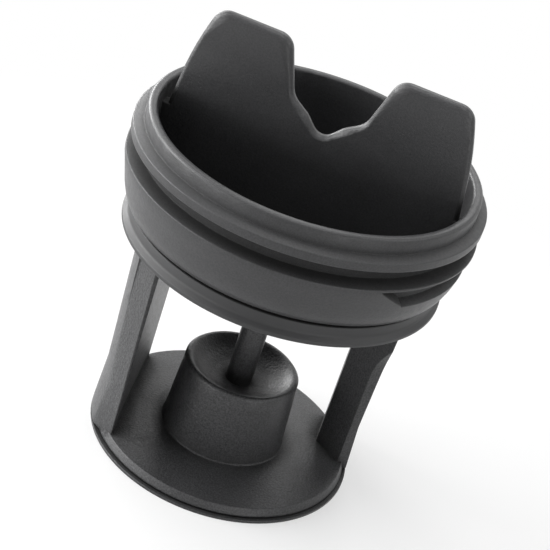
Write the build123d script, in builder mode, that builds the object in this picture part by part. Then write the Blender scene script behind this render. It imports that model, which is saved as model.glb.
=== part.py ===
from build123d import *
import os

os.makedirs("parts", exist_ok=True)

# Drain pump filter, in millimetres. It stands on its base disc: the axis is +Z and
# the centre of the disc's underside is the origin. The grip plate lies along X.

# Base disc
disc_radius = 25.0
disc_height = 2.35
disc_lip = 0.55
disc_line = 0.3
disc_line_depth = 1.3
disc_step = 0.7
disc_chamfer = 0.6

# Dished cup in the middle of the disc, cored from below
cup_foot_radius = 11.7
cup_draft = 0.8
cup_foot_chamfer = 0.35
cup_height = 17.0
cup_lip = 1.7
cup_lip_chamfer = 0.55
dish_depth = 3.2
dish_points = ((1.25, 1.5), (3.9, 2.65))
core_wall = 2.4
core_roof = 2.4

# Stem between the dish and the cap
stem_radius = 2.5

# Cap, from its underside up: collar, seal seat, band, thread and rim
cage_height = 41.0
collar_height = 1.9
seat_height = 4.3
crest_radius = 31.95
seat_depth = 7.55
collar_ledge = 1.2
floor_inset = 2.0
floor_step = 3.7
well_rise = 7.3
rim_set = 1.85
rim_wall = 1.8
rim_rise = 2.8
rim_chamfer = 0.45
well_draft = 0.4

# Band below the thread: how far each point lies inside the crest and above the band's foot
band_points = ((3.35, 0.0), (2.55, 0.2), (1.85, 1.35), (1.3, 2.9), (0.0, 8.3))

# Thread groove: one level turn below the rim, joined by a ramp from a level start
lower_groove_rise = 7.1
groove_pitch = 3.9
groove_depth = 2.4
groove_half = 1.8
groove_floor_low = -1.0
groove_floor_high = 1.5
ridge_width = 1.5
ridge_ramp = 0.7
groove_inset = 0.15
lower_low = -1.2
lower_half = 3.0
groove_start = -38.0
ramp_arc = 180.0
run_in = 7.3

# Grip plate with two ears and a notch, measured from the rim
plate_thickness = 2.5
plate_chamfer = 0.75
plate_bury = 1.0
plate_gap = 0.6
plate_foot_drop = 3.4
plate_bend_set = 1.4
plate_bend_rise = 8.0
plate_bend_round = 60.0
ear_rise = 16.6
ear_set = 4.1
ear_inner = 9.8
ear_round = 3.1
notch_rise = 0.7
notch_round = 2.2
bump_half = 3.4
bump_rise = 4.3
bump_round = 2.6
dip_half = 6.6
dip_rise = 6.4
dip_round = 4.0

# Legs: both follow the disc's edge, spread at the foot and widen a little towards the collar
leg_inset = 0.55
leg_foot_rise = 10.0
leg_spread = 1.0

# Wide leg: a flat inner face, narrow end faces that widen upward, and shoulders that ease into the outline
wide_turn = 7.0
wide_thickness = 6.05
wide_half_width = 14.3
wide_end_foot = 0.15
wide_end_top = 0.9
shoulder_half_width = 10.5

# Narrow leg: a slanted front face with a bevelled edge that swings out under the collar
narrow_turn = 5.6
narrow_thickness = 6.7
narrow_inner = 6.1
narrow_half_width = 15.0
slant_angle = 39.7
slant_width = 6.6
slant_flare = 11.0
bevel_angle = 30.0
flare_foot = 19.5
flare_corner = 34.0

# Seal ring
seal_gap = 0.75
seal_wall = 3.8
seal_lip_reach = 1.3
seal_lip_edge = 0.8
seal_lip_root = 1.6
seal_edge = 0.3

# Derived heights
line_top = disc_lip + disc_line
dish_height = cup_height - dish_depth
collar_top = cage_height + collar_height
band_low = collar_top + seat_height
well_step = collar_top + floor_step
well_foot = collar_top + well_rise
lower_groove = band_low + lower_groove_rise
upper_groove = lower_groove + groove_pitch
ridge_top = upper_groove + groove_half + ridge_width
rim_root = ridge_top + ridge_ramp
rim_height = rim_root + rim_rise

# Derived radii
disc_wall_radius = disc_radius - disc_step
cup_lip_radius = cup_foot_radius - cup_draft
dish_radius = cup_lip_radius - cup_lip
core_radius = cup_foot_radius - core_wall
seat_radius = crest_radius - seat_depth
collar_radius = seat_radius + collar_ledge
floor_radius = seat_radius - floor_inset
groove_floor_radius = crest_radius - groove_depth
rim_radius = crest_radius - rim_set
rim_inner_radius = rim_radius - rim_wall
well_radius = rim_inner_radius - well_draft
plate_side = well_radius - plate_gap
leg_radius = disc_radius - leg_inset
leg_top_radius = leg_radius + leg_spread
seal_wall_radius = seat_radius + seal_wall
seal_lip_radius = seal_wall_radius + seal_lip_reach


with BuildPart() as filter_body:
    # Grip plate: outline from the cap's floor to the ears, with bevelled edges above the rim
    ear_top = rim_height + ear_rise
    dip_height = rim_height + dip_rise
    bump_height = rim_height + bump_rise
    notch_low = rim_height + notch_rise
    bend_height = rim_height + plate_bend_rise
    plate_foot = rim_height - plate_foot_drop
    with BuildSketch(Plane.XZ):
        with BuildLine():
            Polyline(
                (0, collar_top - plate_bury),
                (floor_radius + plate_bury, collar_top - plate_bury),
                (floor_radius + plate_bury, well_step),
                (well_radius + plate_bury, well_foot + plate_bury / 2),
                (well_radius + plate_bury, plate_foot),
                (plate_side, plate_foot),
                (plate_side - plate_bend_set, bend_height),
                (plate_side - ear_set, ear_top),
                (ear_inner, ear_top),
                (dip_half, dip_height),
                (bump_half, bump_height),
                (0, notch_low),
            )
            mirror(about=Plane.YZ)
        make_face()
        for height, rounding in (
            (ear_top, ear_round),
            (dip_height, dip_round),
            (bump_height, bump_round),
            (notch_low, notch_round),
        ):
            fillet(vertices().filter_by_position(Axis.Y, height - 0.1, height + 0.1), rounding)
        bends = vertices().filter_by_position(Axis.Y, bend_height - 0.1, bend_height + 0.1)
        fillet([v for v in bends if abs(v.X) > plate_side - ear_set], plate_bend_round)
    extrude(amount=plate_thickness / 2, both=True)
    rims = edges().filter_by(lambda e: abs(abs(e.center().Y) - plate_thickness / 2) < 1e-4)
    chamfer(rims.filter_by(lambda e: e.center().Z > plate_foot + 0.5), plate_chamfer)

    # Outline that both legs share
    with BuildSketch(Plane.XZ):
        with BuildLine():
            Polyline(
                (leg_radius, line_top + leg_foot_rise),
                (disc_radius, line_top),
                (0, line_top),
                (0, collar_top),
                (leg_top_radius, collar_top),
                close=True,
            )
        make_face()
    leg_outline = revolve(axis=Axis.Z, mode=Mode.PRIVATE)

    # Wide leg: its end faces lie along radii
    wide_flat = wide_thickness - leg_radius
    wide_corner = Vector(wide_flat, wide_half_width)
    shoulder = -((disc_radius**2 - shoulder_half_width**2) ** 0.5)
    for height, end_width in ((line_top, wide_end_foot), (collar_top, wide_end_top)):
        end_edge = wide_corner + wide_corner.normalized() * end_width
        with BuildSketch(Plane((0, 0, height), x_dir=Vector(1, 0, 0).rotate(Axis.Z, wide_turn))):
            Polygon(
                (wide_flat, wide_half_width),
                (end_edge.X, end_edge.Y),
                (shoulder, shoulder_half_width),
                (2 * shoulder, shoulder_half_width),
                (2 * shoulder, -shoulder_half_width),
                (shoulder, -shoulder_half_width),
                (end_edge.X, -end_edge.Y),
                (wide_flat, -wide_half_width),
                align=None,
            )
    wide_leg = loft(ruled=True, mode=Mode.PRIVATE)
    add(wide_leg & leg_outline)

    # Narrow leg: cut off at a slant; the slanted face's outer edge is bevelled and swings out into the flare
    narrow_flat = leg_radius - narrow_thickness
    slant_dir = Vector(1, 0, 0).rotate(Axis.Z, -slant_angle)
    slant_far = Vector(narrow_flat, narrow_inner) + slant_dir * (2 * slant_flare)
    narrow_plane = Plane((0, 0, line_top), x_dir=Vector(1, 0, 0).rotate(Axis.Z, narrow_turn))
    with BuildSketch(narrow_plane):
        with BuildLine():
            Polyline(
                (narrow_flat, narrow_inner),
                (slant_far.X, slant_far.Y),
                (slant_far.X, narrow_half_width),
                (narrow_flat, narrow_half_width),
                close=True,
            )
        make_face()
    narrow_leg = extrude(amount=collar_top - line_top, mode=Mode.PRIVATE)
    slant_face = Plane(
        origin=narrow_plane.from_local_coords((narrow_flat, narrow_inner, -line_top)),
        x_dir=Vector(1, 0, 0).rotate(Axis.Z, narrow_turn - slant_angle),
        z_dir=Vector(0, -1, 0).rotate(Axis.Z, narrow_turn - slant_angle),
    )
    swing = slant_flare - slant_width
    with BuildSketch(slant_face):
        with BuildLine():
            Polyline(
                (slant_width, flare_foot),
                (slant_width, 0),
                (-narrow_half_width, 0),
                (-narrow_half_width, collar_top),
                (slant_flare, collar_top),
                (slant_flare, flare_corner),
            )
            Spline(
                (slant_flare, flare_corner),
                (slant_width + 0.72 * swing, flare_corner - 3.0),
                (slant_width + 0.2 * swing, flare_corner - 7.0),
                (slant_width, flare_foot),
                tangents=((0, -1), (0, -1)),
            )
        make_face()
    bevel_dir = Vector(1, 0, 0).rotate(Axis.Z, narrow_turn + bevel_angle)
    bevel = extrude(amount=2 * narrow_half_width, dir=bevel_dir, mode=Mode.PRIVATE)
    add(narrow_leg & leg_outline & bevel)

    # Disc, cup and stem in one turned profile
    with BuildSketch(Plane.XZ):
        with BuildLine():
            Polyline(
                (dish_radius + cup_lip_chamfer, cup_height),
                (cup_lip_radius - cup_lip_chamfer, cup_height),
                (cup_lip_radius, cup_height - cup_lip_chamfer),
                (cup_foot_radius, disc_height + cup_foot_chamfer),
                (cup_foot_radius + cup_foot_chamfer, disc_height),
                (disc_wall_radius - disc_chamfer, disc_height),
                (disc_wall_radius, line_top),
                (disc_radius - disc_line_depth, line_top),
                (disc_radius - disc_line_depth, disc_lip),
                (disc_radius, disc_lip),
                (disc_radius, 0),
                (core_radius, 0),
                (core_radius, dish_height - core_roof),
                (0, dish_height - core_roof),
                (0, collar_top),
                (stem_radius, collar_top),
                (stem_radius, dish_height),
                *[(dish_radius - inside, cup_height - below) for inside, below in reversed(dish_points)],
                (dish_radius, cup_height - cup_lip_chamfer),
                close=True,
            )
        make_face()
    revolve(axis=Axis.Z)

    # Cap shell with its collar, seal seat, band, level thread turn and rim
    with BuildSketch(Plane.XZ):
        with BuildLine():
            Polyline(
                (0, cage_height),
                (collar_radius, cage_height),
                (collar_radius, collar_top),
                (seat_radius, collar_top),
                (seat_radius, band_low),
                *[(crest_radius - inside, band_low + above) for inside, above in band_points],
                (crest_radius, upper_groove - groove_half),
                (groove_floor_radius, upper_groove + groove_floor_low),
                (groove_floor_radius, upper_groove + groove_floor_high),
                (crest_radius, upper_groove + groove_half),
                (crest_radius, ridge_top),
                (rim_radius, rim_root),
                (rim_radius, rim_height - rim_chamfer),
                (rim_radius - rim_chamfer, rim_height),
                (rim_inner_radius + rim_chamfer, rim_height),
                (rim_inner_radius, rim_height - rim_chamfer),
                (well_radius, well_foot),
                (floor_radius, well_step),
                (floor_radius, collar_top),
                (0, collar_top),
                close=True,
            )
        make_face()
    revolve(axis=Axis.Z)

    # Lower thread groove: level from its start to the X axis, then a ramp into the level turn
    lower_floor = groove_floor_radius + groove_inset
    lower_profile = (
        (lower_floor, lower_low),
        (lower_floor, groove_floor_high - groove_inset),
        (crest_radius + 0.5, groove_half),
        (crest_radius + 0.5, -lower_half),
    )
    with BuildSketch(Plane.XZ):
        with Locations((0, lower_groove)):
            Polygon(*lower_profile, align=None)
    revolve(axis=Axis.Z, revolution_arc=groove_start, mode=Mode.SUBTRACT)
    with BuildLine() as ramp_path:
        Helix(
            pitch=groove_pitch * 360 / ramp_arc,
            height=groove_pitch,
            radius=lower_floor,
            center=(0, 0, lower_groove),
        )
    with BuildSketch(Plane.XZ):
        with Locations((0, lower_groove)):
            Polygon(*lower_profile, align=None)
    sweep(path=ramp_path.line, is_frenet=True, mode=Mode.SUBTRACT)

    # Run-in notch: the lower groove starts at a point and opens at a slant
    notch_face = Plane(
        origin=(0, 0, lower_groove),
        x_dir=Vector(0, 1, 0).rotate(Axis.Z, groove_start),
        z_dir=Vector(1, 0, 0).rotate(Axis.Z, groove_start),
    )
    with BuildSketch(notch_face.offset(lower_floor)):
        Polygon(
            (0.3, lower_low),
            (0.3, groove_floor_high - groove_inset),
            (-run_in / 2, groove_floor_high - groove_inset),
            align=None,
        )
    with BuildSketch(notch_face.offset(crest_radius + 0.5)):
        Polygon(
            (0.3, -lower_half),
            (0.3, groove_half),
            (-run_in, groove_half),
            align=None,
        )
    loft(mode=Mode.SUBTRACT)

with BuildPart() as seal_ring:
    # Rubber ring in the seat: an upright wall above an outward lip that rests on the collar
    with BuildSketch(Plane.XZ):
        with BuildLine():
            Polyline(
                (seat_radius, collar_top),
                (seal_lip_radius - seal_edge, collar_top),
                (seal_lip_radius, collar_top + seal_edge),
                (seal_lip_radius, collar_top + seal_lip_edge),
                (seal_wall_radius, collar_top + seal_lip_root),
                (seal_wall_radius, band_low - seal_gap - seal_edge),
                (seal_wall_radius - seal_edge, band_low - seal_gap),
                (seat_radius, band_low - seal_gap),
                close=True,
            )
        make_face()
    revolve(axis=Axis.Z)

filter_body.part.label = "filter_body"
seal_ring.part.label = "seal_ring"
export_step(filter_body.part, "parts/filter_body.step")
export_step(seal_ring.part, "parts/seal_ring.step")
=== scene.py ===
import math

import bmesh
import bpy
from mathutils import Matrix, Vector


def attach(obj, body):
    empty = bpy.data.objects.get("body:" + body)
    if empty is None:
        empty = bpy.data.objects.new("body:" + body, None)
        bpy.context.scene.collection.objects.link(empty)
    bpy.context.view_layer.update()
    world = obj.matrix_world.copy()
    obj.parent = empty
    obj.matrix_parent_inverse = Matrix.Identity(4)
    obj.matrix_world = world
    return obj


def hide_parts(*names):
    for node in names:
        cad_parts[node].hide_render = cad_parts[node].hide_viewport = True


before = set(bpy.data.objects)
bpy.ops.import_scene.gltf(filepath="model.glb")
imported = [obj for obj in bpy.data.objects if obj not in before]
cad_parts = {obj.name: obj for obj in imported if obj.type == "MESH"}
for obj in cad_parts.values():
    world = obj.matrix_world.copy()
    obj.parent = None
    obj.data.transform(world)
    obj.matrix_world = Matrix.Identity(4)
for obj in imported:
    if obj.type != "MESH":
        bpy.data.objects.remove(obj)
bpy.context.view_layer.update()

MM = 0.001

# Heights between which the plastic's grain fades, in millimetres, and the share of it left on the cap
CAGE_TOP = 42.0
CAP_FOOT = 47.0
CAP_GRAIN = 0.35

# Darkest and lightest tone of each finish
PLASTIC_TONES = ((0.0350, 0.0352, 0.0366), (0.0425, 0.0427, 0.0444))
RUBBER_TONES = ((0.0330, 0.0333, 0.0344), (0.0400, 0.0403, 0.0416))
SPECULAR_LEVEL = 0.4

# Span of most values of a noise pattern, and spans from closed grooves to open faces, over which the painted shade
# in the base colour and the added roughness fade out
NOISE_SPAN = (0.3, 0.7)
PLASTIC_OPEN_SPAN = (0.5, 0.9)
RUBBER_OPEN_SPAN = (0.35, 0.85)

# Faces of the moulding that meet at less than this run together
MOULDING_SHARP = math.radians(47.0)
SEAL_SHARP = math.radians(50.0)
MERGE_DISTANCE = 0.002 * MM

# Lip seal in millimetres; the lip's heights count from its foot
SEAL_SIZES = {
    "Seat Radius": 24.4,
    "Wall Radius": 28.6,
    "Lip Radius": 29.5,
    "Foot Height": 42.9,
    "Top Height": 46.45,
    "Lip Edge": 0.8,
    "Lip Root": 1.6,
    "Edge Round": 0.3,
    "Root Round": 0.8,
}
SEAL_RING_STEPS = 240
SEAL_ROUND_STEPS = 5

# Floor: its radius in metres, and the distances in millimetres over which it turns to plain white
FLOOR_RADIUS = 3.0
FLOOR_WHITE = (0.95, 0.95, 0.95, 1.0)
SHADOW_SPAN = (25.0 * MM, 140.0 * MM)
SHADOW_GLOW = (0.55, 1.0)

WHITE = (1.0, 1.0, 1.0, 1.0)
AMBIENT_LEVEL = 0.03

# Lamps: place and size in metres, power in watts
FILTER_CENTRE = Vector((0.0, 0.0, 0.040))
SOFTBOX = (0.30, 0.30)
STRIP = (0.30, 0.13)
LAMPS = (
    ("left_softbox", (-0.38, -0.05, 0.38), SOFTBOX, 1.3),
    ("left_low_softbox", (-0.45, -0.05, 0.10), SOFTBOX, 2.7),
    ("left_back_softbox", (-0.36, 0.30, 0.24), SOFTBOX, 0.9),
    ("left_back_strip", (-0.38, 0.32, 0.085), STRIP, 1.2),
    ("left_front_strip", (-0.36, -0.36, 0.075), STRIP, 0.7),
    ("right_softbox", (0.38, 0.0, 0.38), SOFTBOX, 0.6),
    ("right_front_strip", (0.36, -0.36, 0.075), STRIP, 0.4),
    ("top_softbox", (0.0, 0.0, 0.55), SOFTBOX, 0.8),
    ("back_softbox", (0.0, 0.40, 0.42), SOFTBOX, 0.7),
)


def new_material(name):
    """A material with its Principled shader and Object coordinates."""
    material = bpy.data.materials.new(name)
    material.use_nodes = True
    tree = material.node_tree
    shader = tree.nodes["Principled BSDF"]
    place = tree.nodes.new("ShaderNodeTexCoord").outputs["Object"]
    return material, tree, shader, place


def add_noise(tree, place, size_mm, detail=2.0, roughness=0.5):
    """Noise whose grains are about size_mm across."""
    noise = tree.nodes.new("ShaderNodeTexNoise")
    noise.inputs["Scale"].default_value = 1.0 / (size_mm * MM)
    noise.inputs["Detail"].default_value = detail
    noise.inputs["Roughness"].default_value = roughness
    tree.links.new(place, noise.inputs["Vector"])
    return noise.outputs["Fac"]


def add_ramp(tree, value, tones):
    """Colour ramp between two tones over the noise's span."""
    ramp = tree.nodes.new("ShaderNodeValToRGB")
    for element, position, tone in zip(ramp.color_ramp.elements, NOISE_SPAN, tones):
        element.position = position
        element.color = (*tone, 1.0)
    tree.links.new(value, ramp.inputs["Fac"])
    return ramp.outputs["Color"]


def add_range(tree, value, span, to_span):
    """Value mapped from one span to another, clamped."""
    node = tree.nodes.new("ShaderNodeMapRange")
    node.inputs["From Min"].default_value, node.inputs["From Max"].default_value = span
    node.inputs["To Min"].default_value, node.inputs["To Max"].default_value = to_span
    tree.links.new(value, node.inputs["Value"])
    return node.outputs["Result"]


def add_math(tree, operation, first, second):
    """Math on two values, each a socket or a number."""
    node = tree.nodes.new("ShaderNodeMath")
    node.operation = operation
    for socket, value in zip(node.inputs, (first, second)):
        if isinstance(value, (int, float)):
            socket.default_value = value
        else:
            tree.links.new(value, socket)
    return node.outputs["Value"]


def add_bump(tree, height, depth_mm, normal=None):
    """Bump of depth_mm, over another normal if one is given."""
    bump = tree.nodes.new("ShaderNodeBump")
    bump.inputs["Strength"].default_value = 1.0
    bump.inputs["Distance"].default_value = depth_mm * MM
    tree.links.new(height, bump.inputs["Height"])
    if normal is not None:
        tree.links.new(normal, bump.inputs["Normal"])
    return bump.outputs["Normal"]


def add_openness(tree, reach_mm, own_piece):
    """Near 1 on open faces and lower in grooves and corners."""
    node = tree.nodes.new("ShaderNodeAmbientOcclusion")
    node.samples = 8
    node.only_local = own_piece
    node.inputs["Distance"].default_value = reach_mm * MM
    return node.outputs["AO"]


def add_tone(tree, colour, share):
    """Colour scaled by a share."""
    node = tree.nodes.new("ShaderNodeVectorMath")
    node.operation = "SCALE"
    tree.links.new(colour, node.inputs["Vector"])
    tree.links.new(share, node.inputs["Scale"])
    return node.outputs["Vector"]


def moulded_black_plastic():
    """Black satin plastic: the cage has a spark-eroded grain, the cap is smoother, and edges are softly rounded.
    Grooves and corners get painted shade: ambient occlusion darkens the base colour there.
    """
    material, tree, shader, place = new_material("moulded_black_plastic")
    split = tree.nodes.new("ShaderNodeSeparateXYZ")
    tree.links.new(place, split.inputs["Vector"])
    grain_share = add_range(tree, split.outputs["Z"], (CAGE_TOP * MM, CAP_FOOT * MM), (1.0, CAP_GRAIN))
    openness = add_openness(tree, reach_mm=5.0, own_piece=True)

    clouds = add_ramp(tree, add_noise(tree, place, size_mm=14.0, detail=4.0), PLASTIC_TONES)
    flecks = add_range(tree, add_noise(tree, place, size_mm=0.30, detail=1.0), NOISE_SPAN, (-0.5, 0.5))
    fleck_share = add_math(tree, "ADD", add_math(tree, "MULTIPLY", flecks, grain_share), 1.0)
    # Painted shade: in grooves and corners, ambient occlusion darkens the base colour down to 6 % of its tone
    painted_groove_shade = add_range(tree, openness, PLASTIC_OPEN_SPAN, (0.06, 1.0))
    colour = add_tone(tree, add_tone(tree, clouds, fleck_share), painted_groove_shade)
    tree.links.new(colour, shader.inputs["Base Color"])

    satin = add_range(tree, add_noise(tree, place, size_mm=0.9, detail=3.0), NOISE_SPAN, (0.36, 0.45))
    groove_dull = add_range(tree, openness, PLASTIC_OPEN_SPAN, (0.45, 0.0))
    tree.links.new(add_math(tree, "ADD", satin, groove_dull), shader.inputs["Roughness"])
    shader.inputs["Specular IOR Level"].default_value = SPECULAR_LEVEL

    edge = tree.nodes.new("ShaderNodeBevel")
    edge.samples = 8
    edge.inputs["Radius"].default_value = 0.35 * MM
    grain = add_noise(tree, place, size_mm=0.45, detail=2.0, roughness=0.6)
    height = add_math(tree, "MULTIPLY", grain, grain_share)
    tree.links.new(add_bump(tree, height, depth_mm=0.09, normal=edge.outputs["Normal"]), shader.inputs["Normal"])
    return material


def seal_rubber():
    """Black rubber: softer sheen than the plastic, with a faint bloom. Painted shade darkens its base colour where
    other parts close over it, as in the gap under the cap's band.
    """
    material, tree, shader, place = new_material("seal_rubber")
    bloom = add_noise(tree, place, size_mm=6.0, detail=4.0)
    openness = add_openness(tree, reach_mm=3.0, own_piece=False)
    # Painted shade: ambient occlusion from all pieces darkens the base colour in the gap under the band
    painted_gap_shade = add_range(tree, openness, RUBBER_OPEN_SPAN, (0.02, 1.0))
    tree.links.new(add_tone(tree, add_ramp(tree, bloom, RUBBER_TONES), painted_gap_shade), shader.inputs["Base Color"])

    sheen = add_range(tree, bloom, NOISE_SPAN, (0.46, 0.56))
    gap_dull = add_range(tree, openness, RUBBER_OPEN_SPAN, (0.40, 0.0))
    tree.links.new(add_math(tree, "ADD", sheen, gap_dull), shader.inputs["Roughness"])
    shader.inputs["Specular IOR Level"].default_value = SPECULAR_LEVEL

    grain = add_noise(tree, place, size_mm=0.25)
    tree.links.new(add_bump(tree, grain, depth_mm=0.015), shader.inputs["Normal"])
    return material


def link_piece(name, mesh):
    """New object for a mesh, at the origin."""
    piece = bpy.data.objects.new(name, mesh)
    bpy.context.scene.collection.objects.link(piece)
    return piece


def mesh_of(carrier, name):
    """Plain mesh of an object with its modifiers applied; the object itself goes."""
    depsgraph = bpy.context.evaluated_depsgraph_get()
    mesh = bpy.data.meshes.new_from_object(carrier.evaluated_get(depsgraph))
    bpy.data.objects.remove(carrier)
    mesh.name = name
    return mesh


def dress(piece, node):
    """The piece rides with the body and stands in for its CAD node."""
    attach(piece, "root")
    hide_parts(node)


def filter_moulding(material):
    """Smoothly shaded copy of the moulding: shallow bends and chamfers run together, true edges stay sharp."""
    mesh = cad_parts["filter_body"].data.copy()
    mesh.attributes.remove(mesh.attributes["custom_normal"])
    shape = bmesh.new()
    shape.from_mesh(mesh)
    bmesh.ops.remove_doubles(shape, verts=shape.verts, dist=MERGE_DISTANCE)
    for face in shape.faces:
        face.smooth = True
    shape.to_mesh(mesh)
    shape.free()
    mesh.materials.clear()
    mesh.materials.append(material)
    mesh.set_sharp_from_angle(angle=MOULDING_SHARP)
    raw = link_piece("filter_moulding_raw", mesh)
    weigh = raw.modifiers.new("flat_faces_lead", "WEIGHTED_NORMAL")
    weigh.keep_sharp = True
    weigh.weight = 100
    dress(link_piece("filter_moulding", mesh_of(raw, "filter_moulding")), "filter_body")


def seal_tree():
    """Lip seal: a profile with rounded corners, swept round the cap. The sizes are named inputs."""
    tree = bpy.data.node_groups.new("lip_seal", "GeometryNodeTree")
    for name, size in SEAL_SIZES.items():
        socket = tree.interface.new_socket(name, in_out="INPUT", socket_type="NodeSocketFloat")
        socket.default_value = size * MM
    tree.interface.new_socket("Rubber", in_out="INPUT", socket_type="NodeSocketMaterial")
    tree.interface.new_socket("Geometry", in_out="OUTPUT", socket_type="NodeSocketGeometry")
    given = tree.nodes.new("NodeGroupInput").outputs

    # Corners of the profile: radius, height and rounding
    lip_edge = add_math(tree, "ADD", given["Foot Height"], given["Lip Edge"])
    lip_root = add_math(tree, "ADD", given["Foot Height"], given["Lip Root"])
    corners = (
        (given["Seat Radius"], given["Top Height"], None),
        (given["Wall Radius"], given["Top Height"], given["Edge Round"]),
        (given["Wall Radius"], lip_root, given["Root Round"]),
        (given["Lip Radius"], lip_edge, given["Edge Round"]),
        (given["Lip Radius"], given["Foot Height"], given["Edge Round"]),
        (given["Seat Radius"], given["Foot Height"], None),
    )
    index = tree.nodes.new("GeometryNodeInputIndex").outputs["Index"]
    spots = tree.nodes.new("GeometryNodeIndexSwitch")
    spots.data_type = "VECTOR"
    rounds = tree.nodes.new("GeometryNodeIndexSwitch")
    rounds.data_type = "FLOAT"
    for choice in (spots, rounds):
        while len(choice.index_switch_items) < len(corners):
            choice.index_switch_items.new()
        tree.links.new(index, choice.inputs["Index"])

    # A swept profile's X points outwards from the ring's path and its Y points down
    for number, (radius, height, rounding) in enumerate(corners):
        spot = tree.nodes.new("ShaderNodeCombineXYZ")
        tree.links.new(add_math(tree, "SUBTRACT", radius, given["Wall Radius"]), spot.inputs["X"])
        tree.links.new(add_math(tree, "SUBTRACT", 0.0, height), spot.inputs["Y"])
        tree.links.new(spot.outputs["Vector"], spots.inputs[str(number)])
        if rounding is not None:
            tree.links.new(rounding, rounds.inputs[str(number)])
    points = tree.nodes.new("GeometryNodePoints")
    points.inputs["Count"].default_value = len(corners)
    tree.links.new(spots.outputs["Output"], points.inputs["Position"])
    strand = tree.nodes.new("GeometryNodePointsToCurves")
    tree.links.new(points.outputs["Points"], strand.inputs["Points"])
    closed = tree.nodes.new("GeometryNodeSetSplineCyclic")
    closed.inputs["Cyclic"].default_value = True
    tree.links.new(strand.outputs["Curves"], closed.inputs["Geometry"])
    rounded = tree.nodes.new("GeometryNodeFilletCurve")
    rounded.mode = "POLY"
    rounded.inputs["Count"].default_value = SEAL_ROUND_STEPS
    tree.links.new(closed.outputs["Geometry"], rounded.inputs["Curve"])
    tree.links.new(rounds.outputs["Output"], rounded.inputs["Radius"])

    path = tree.nodes.new("GeometryNodeCurvePrimitiveCircle")
    path.inputs["Resolution"].default_value = SEAL_RING_STEPS
    tree.links.new(given["Wall Radius"], path.inputs["Radius"])
    sweep = tree.nodes.new("GeometryNodeCurveToMesh")
    tree.links.new(path.outputs["Curve"], sweep.inputs["Curve"])
    tree.links.new(rounded.outputs["Curve"], sweep.inputs["Profile Curve"])
    finish = tree.nodes.new("GeometryNodeSetMaterial")
    tree.links.new(sweep.outputs["Mesh"], finish.inputs["Geometry"])
    tree.links.new(given["Rubber"], finish.inputs["Material"])
    whole = tree.nodes.new("GeometryNodeRealizeInstances")
    tree.links.new(finish.outputs["Geometry"], whole.inputs["Geometry"])
    tree.links.new(whole.outputs["Geometry"], tree.nodes.new("NodeGroupOutput").inputs["Geometry"])
    return tree


def rubber_seal(material):
    """The lip seal in its seat, with softly moulded edges."""
    tree = seal_tree()
    raw = link_piece("rubber_seal_raw", bpy.data.meshes.new("rubber_seal_raw"))
    shaper = raw.modifiers.new("lip_seal", "NODES")
    shaper.node_group = tree
    sockets = {item.name: item.identifier for item in tree.interface.items_tree if item.in_out == "INPUT"}
    shaper[sockets["Rubber"]] = material
    mesh = mesh_of(raw, "rubber_seal")
    for face in mesh.polygons:
        face.use_smooth = True
    mesh.set_sharp_from_angle(angle=SEAL_SHARP)
    dress(link_piece("rubber_seal", mesh), "seal_ring")


def add_camera():
    """The photograph's view: 30 degrees above the floor, with the picture turned by 19 degrees."""
    camera = bpy.data.objects.new("photo_camera", bpy.data.cameras.new("photo_camera"))
    camera.data.sensor_width = 36.0
    camera.data.lens = 118.68
    camera.data.clip_start = 0.01
    right = Vector((0.915268, 0.290710, 0.278876))
    up = Vector((-0.384671, 0.425114, 0.819333))
    back = Vector((0.119634, -0.857185, 0.500921))
    place = Vector((0.039331, -0.279855, 0.200871))
    camera.matrix_world = Matrix.Translation(place) @ Matrix((right, up, back)).transposed().to_4x4()
    bpy.context.scene.collection.objects.link(camera)
    bpy.context.scene.camera = camera


def add_lamp(name, place, size, power):
    """Soft rectangular lamp aimed at the filter."""
    lamp = bpy.data.lights.new(name, "AREA")
    lamp.shape = "RECTANGLE"
    lamp.size, lamp.size_y = size
    lamp.energy = power
    holder = bpy.data.objects.new(name, lamp)
    holder.location = place
    aim = FILTER_CENTRE - Vector(place)
    holder.rotation_euler = aim.to_track_quat("-Z", "Y").to_euler()
    bpy.context.scene.collection.objects.link(holder)


def background_rays(tree):
    """1 for the rays that show the background: camera, glossy and transmission rays."""
    path = tree.nodes.new("ShaderNodeLightPath")
    seen = add_math(tree, "MAXIMUM", path.outputs["Is Camera Ray"], path.outputs["Is Glossy Ray"])
    return add_math(tree, "MAXIMUM", seen, path.outputs["Is Transmission Ray"])


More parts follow.
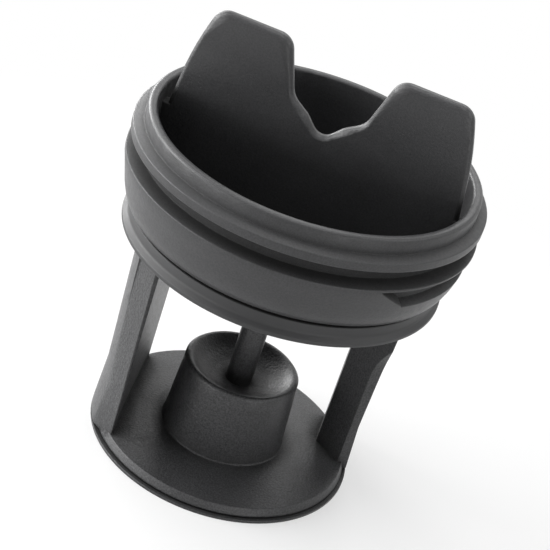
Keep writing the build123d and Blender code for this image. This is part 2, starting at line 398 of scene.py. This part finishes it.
def add_floor():
    """Wide white floor that keeps the filter's shadow and fades to plain white further out."""
    shape = bmesh.new()
    bmesh.ops.create_circle(shape, cap_ends=True, segments=96, radius=FLOOR_RADIUS)
    mesh = bpy.data.meshes.new("floor")
    shape.to_mesh(mesh)
    shape.free()
    floor = link_piece("floor", mesh)
    material = bpy.data.materials.new("white_floor")
    material.use_nodes = True
    tree = material.node_tree
    tree.nodes.remove(tree.nodes["Principled BSDF"])
    matt = tree.nodes.new("ShaderNodeBsdfDiffuse")
    matt.inputs["Color"].default_value = FLOOR_WHITE
    glow = tree.nodes.new("ShaderNodeEmission")
    glow.inputs["Strength"].default_value = 1.0
    reach = tree.nodes.new("ShaderNodeVectorMath")
    reach.operation = "LENGTH"
    tree.links.new(tree.nodes.new("ShaderNodeTexCoord").outputs["Object"], reach.inputs["Vector"])
    white = add_range(tree, reach.outputs["Value"], SHADOW_SPAN, SHADOW_GLOW)
    mix = tree.nodes.new("ShaderNodeMixShader")
    tree.links.new(add_math(tree, "MULTIPLY", background_rays(tree), white), mix.inputs["Fac"])
    tree.links.new(matt.outputs["BSDF"], mix.inputs[1])
    tree.links.new(glow.outputs["Emission"], mix.inputs[2])
    tree.links.new(mix.outputs["Shader"], tree.nodes["Material Output"].inputs["Surface"])
    mesh.materials.append(material)


def add_world():
    """Even studio light; the background itself shows as white."""
    world = bpy.data.worlds.new("studio")
    bpy.context.scene.world = world
    world.use_nodes = True
    tree = world.node_tree
    ambient = tree.nodes["Background"]
    ambient.inputs["Color"].default_value = WHITE
    ambient.inputs["Strength"].default_value = AMBIENT_LEVEL
    shown = tree.nodes.new("ShaderNodeBackground")
    shown.inputs["Color"].default_value = WHITE
    shown.inputs["Strength"].default_value = 1.0
    mix = tree.nodes.new("ShaderNodeMixShader")
    tree.links.new(background_rays(tree), mix.inputs["Fac"])
    tree.links.new(ambient.outputs["Background"], mix.inputs[1])
    tree.links.new(shown.outputs["Background"], mix.inputs[2])
    tree.links.new(mix.outputs["Shader"], tree.nodes["World Output"].inputs["Surface"])


filter_moulding(moulded_black_plastic())
rubber_seal(seal_rubber())

add_camera()
add_floor()
add_world()
for lamp_row in LAMPS:
    add_lamp(*lamp_row)
bpy.context.scene.view_settings.view_transform = "Standard"
